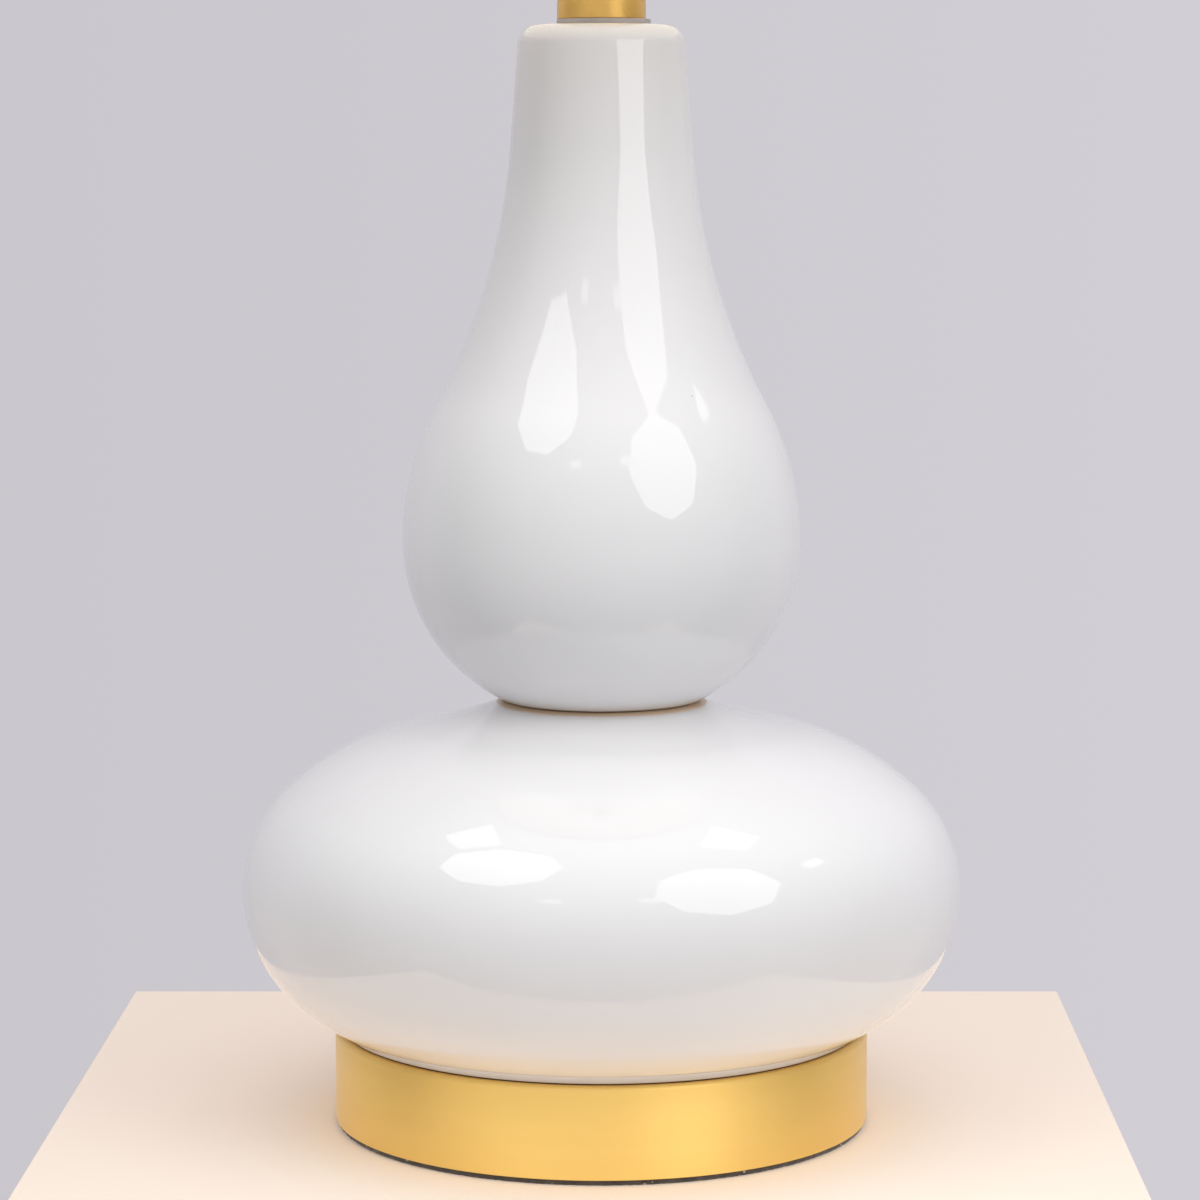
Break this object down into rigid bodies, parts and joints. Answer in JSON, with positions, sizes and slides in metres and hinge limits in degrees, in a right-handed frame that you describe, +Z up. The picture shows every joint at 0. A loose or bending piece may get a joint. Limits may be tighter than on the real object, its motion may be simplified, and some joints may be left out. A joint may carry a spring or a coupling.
{
  "type": "double gourd table lamp",
  "caption": "Table lamp with two stacked glazed gourd bodies on a round metal base, a brass neck, a socket and bulb inside a harp, and a small tapered shade.",
  "frame": {"origin": "middle of the felt's underside, on the lamp's axis", "axes": "+Z up along the lamp's axis, -Y to the front, where the switch knob points"},
  "size_m": [0.254, 0.254, 0.648],
  "materials": {
    "felt": "matte felt",
    "satin_gold": "satin, brushed round the axis, gold toned",
    "polished_brass": "polished",
    "cast_iron": "rough cast",
    "plated_steel": "zinc plated",
    "dark_rubber": "matte",
    "white_glaze": "high gloss white glaze",
    "clear_plastic": "translucent grey",
    "dark_plastic": "moulded",
    "card": "plain card",
    "bare_aluminium": "bare",
    "frosted_glass": "frosted",
    "dark_glass": "glossy black",
    "shade_cloth": "fine linen on a stiff liner",
    "shade_tape": "woven tape",
    "white_wire": "white gloss"
  },
  "bodies": {
    "lamp_body": {"felt_pad": "felt", "base_pan": "satin_gold", "cord_bushing": "dark_plastic", "base_weight": "cast_iron", "flat_washer": "plated_steel", "lock_washer": "plated_steel", "base_nut": "plated_steel", "threaded_rod": "plated_steel", "base_gasket": "dark_rubber", "lower_gourd": "white_glaze", "gourd_seat": "dark_rubber", "upper_gourd": "white_glaze", "neck_washer": "clear_plastic", "neck_ring": "satin_gold", "neck_tube": "satin_gold", "neck_cap": "satin_gold", "harp_saddle": "polished_brass", "harp": "polished_brass", "harp_stud": "polished_brass", "socket_cap": "polished_brass", "set_screw": "plated_steel", "socket_shell": "polished_brass", "socket_liner": "card", "socket_body": "dark_plastic", "terminal_screws": "polished_brass", "screw_shell": "bare_aluminium", "centre_contact": "polished_brass"},
    "right_sleeve": {"harp_sleeve_right": "polished_brass"},
    "left_sleeve": {"harp_sleeve_left": "polished_brass"},
    "switch": {"switch_shaft": "plated_steel", "switch_knob": "dark_plastic"},
    "bulb_carriage": {"bulb_insulator": "dark_glass"},
    "bulb": {"bulb_contact": "plated_steel", "bulb_base": "bare_aluminium", "bulb_glass": "frosted_glass"},
    "shade": {"shade_cover": "shade_cloth", "shade_top_trim": "shade_tape", "shade_bottom_trim": "shade_tape", "shade_top_ring": "white_wire", "shade_bottom_ring": "white_wire", "spider_washer": "white_wire", "spider_arms": "white_wire"},
    "finial_carriage": {"finial_seat": "polished_brass"},
    "finial": {"finial_knob": "satin_gold"}
  },
  "joints": [
    {"name": "right_sleeve_slide", "type": "slide", "parent": "lamp_body", "child": "right_sleeve", "axis": [0, 0, 1], "range_m": [0, 0.014]},
    {"name": "left_sleeve_slide", "type": "slide", "parent": "lamp_body", "child": "left_sleeve", "axis": [0, 0, 1], "range_m": [0, 0.014]},
    {"name": "switch_turn", "type": "hinge", "parent": "lamp_body", "child": "switch", "pos_m": [0, -0.0207, 0.46266], "axis": [0, -1, 0], "continuous": true},
    {"name": "bulb_rise", "type": "slide", "parent": "lamp_body", "child": "bulb_carriage", "axis": [0, 0, 1], "range_m": [0, 0.01825]},
    {"name": "bulb_turn", "type": "hinge", "parent": "bulb_carriage", "child": "bulb", "pos_m": [0, 0, 0.47726], "axis": [0, 0, 1], "range_deg": [0, 1800]},
    {"name": "shade_turn", "type": "hinge", "parent": "lamp_body", "child": "shade", "pos_m": [0, 0, 0.61586], "axis": [0, 0, 1], "continuous": true},
    {"name": "finial_rise", "type": "slide", "parent": "lamp_body", "child": "finial_carriage", "axis": [0, 0, 1], "range_m": [0, 0.0094]},
    {"name": "finial_turn", "type": "hinge", "parent": "finial_carriage", "child": "finial", "pos_m": [0, 0, 0.61856], "axis": [0, 0, 1], "range_deg": [0, 3600]}
  ],
  "couplings": [
    {"joint": "bulb_rise", "follows": "bulb_turn", "m_per_rad": 0.00057757},
    {"joint": "finial_turn", "follows": "finial_rise", "rad_per_m": 6679}
  ]
}
